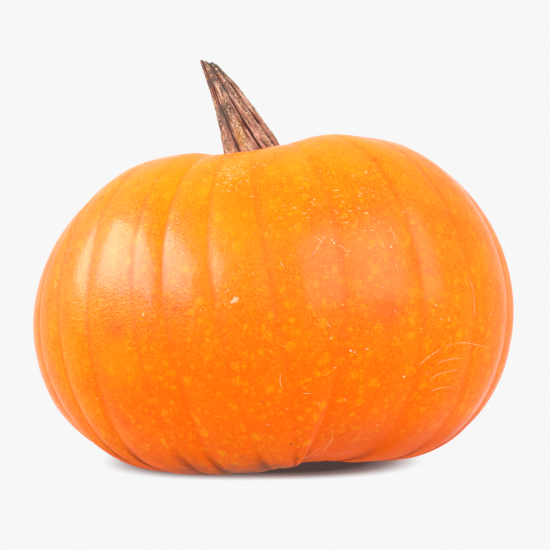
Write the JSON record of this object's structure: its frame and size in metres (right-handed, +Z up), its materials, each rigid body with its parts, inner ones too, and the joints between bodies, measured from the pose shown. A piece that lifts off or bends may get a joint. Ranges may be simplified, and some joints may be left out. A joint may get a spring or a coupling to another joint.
{
  "type": "pumpkin",
  "caption": "Small ripe pumpkin: flattened, ribbed round fruit with a short curved fluted dry stem, resting on a small flat spot.",
  "frame": {"origin": "on the ground, under the middle of the object's box", "axes": "+Z up as the fruit rests, +X to the right and longest across the fruit, -Y towards the viewer of the front side"},
  "size_m": [0.1994, 0.1894, 0.1694],
  "materials": {
    "skin": "satin, waxy",
    "stem": "matte, dry and fibrous"
  },
  "bodies": {
    "root": {"fruit": "skin", "stem": "stem"}
  },
  "joints": []
}
